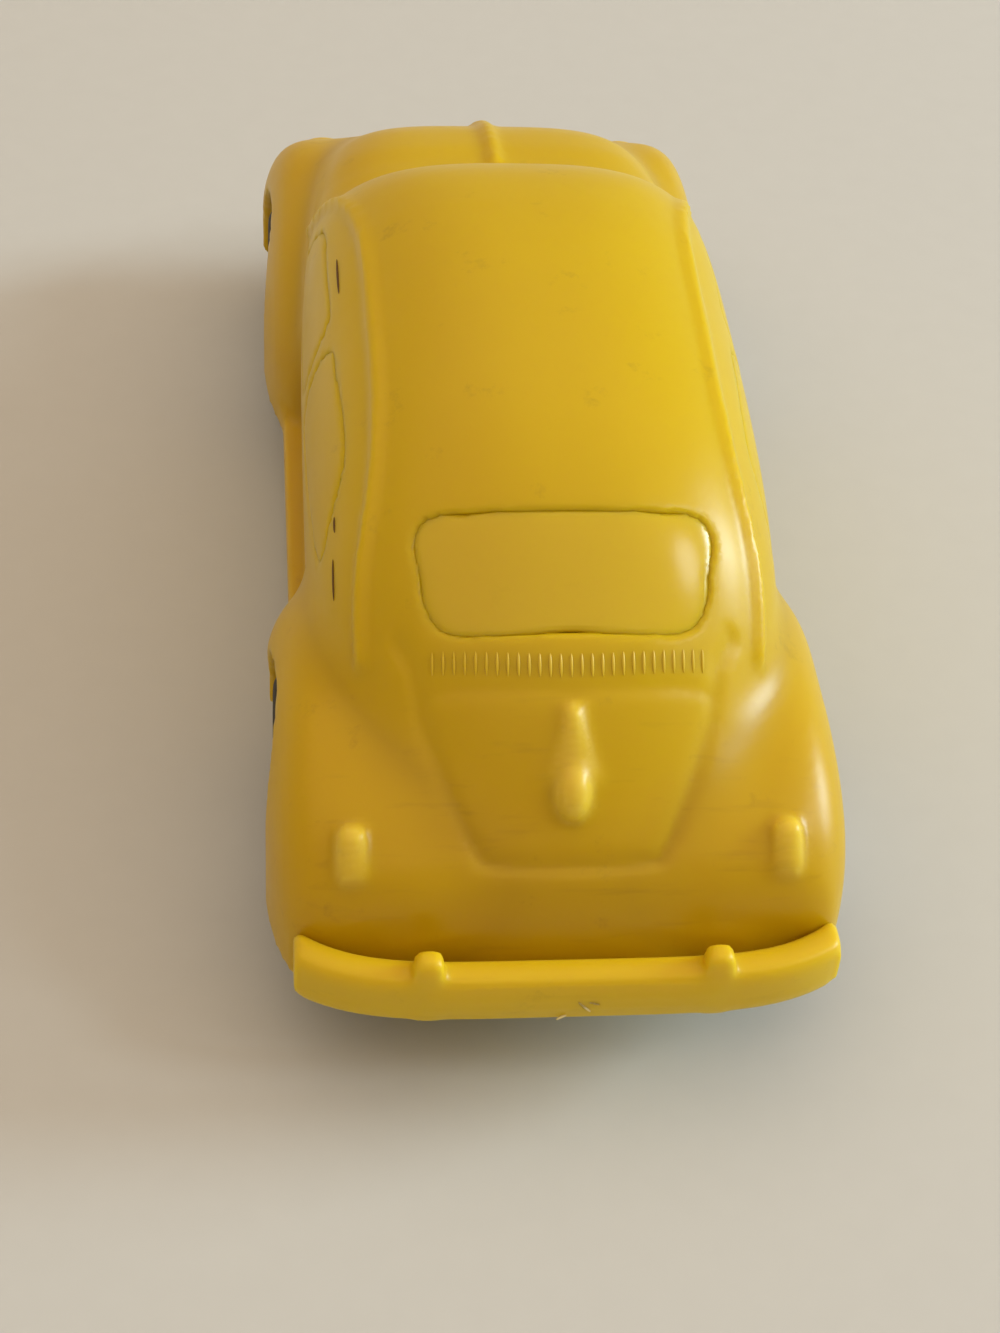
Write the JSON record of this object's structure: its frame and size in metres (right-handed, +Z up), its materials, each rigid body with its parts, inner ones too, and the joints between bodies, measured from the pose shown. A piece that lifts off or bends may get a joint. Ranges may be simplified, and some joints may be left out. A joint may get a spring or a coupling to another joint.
{
  "type": "plastic toy car",
  "caption": "Small rounded two-door toy saloon in yellow plastic, hollow shell with bulging fenders, window moulding and base plate, wheels rolling on wire axles.",
  "frame": {"origin": "on the surface the car stands on, under the middle of its bounding box", "axes": "+Y forward along the car, +X to the car's right, +Z up"},
  "size_m": [0.0248, 0.063, 0.0229],
  "materials": {
    "body_plastic": "translucent soft yellow plastic, semi-gloss, lightly scuffed",
    "window_plastic": "the same yellow plastic, smoother and glossier",
    "base_plastic": "translucent soft yellow plastic, semi-gloss",
    "axle_steel": "bright drawn wire",
    "screw_steel": "dull plated steel",
    "hub_plastic": "ivory moulded plastic",
    "tyre_rubber": "dark soft rubber, dusty"
  },
  "bodies": {
    "car": {"body_shell": "body_plastic", "cabin_insert": "window_plastic", "base_plate": "base_plastic", "rear_screw": "screw_steel", "front_screw": "screw_steel"},
    "rear_wheelset": {"rear_axle": "axle_steel", "hub_rear_left": "hub_plastic", "hub_rear_right": "hub_plastic", "tyre_rear_left": "tyre_rubber", "tyre_rear_right": "tyre_rubber"},
    "front_wheelset": {"front_axle": "axle_steel", "hub_front_left": "hub_plastic", "hub_front_right": "hub_plastic", "tyre_front_left": "tyre_rubber", "tyre_front_right": "tyre_rubber"}
  },
  "joints": [
    {"name": "rear_axle_spin", "type": "hinge", "parent": "car", "child": "rear_wheelset", "pos_m": [0, -0.0176, 0.00496], "axis": [1, 0, 0], "continuous": true},
    {"name": "front_axle_spin", "type": "hinge", "parent": "car", "child": "front_wheelset", "pos_m": [0, 0.0202, 0.00496], "axis": [1, 0, 0], "continuous": true}
  ]
}
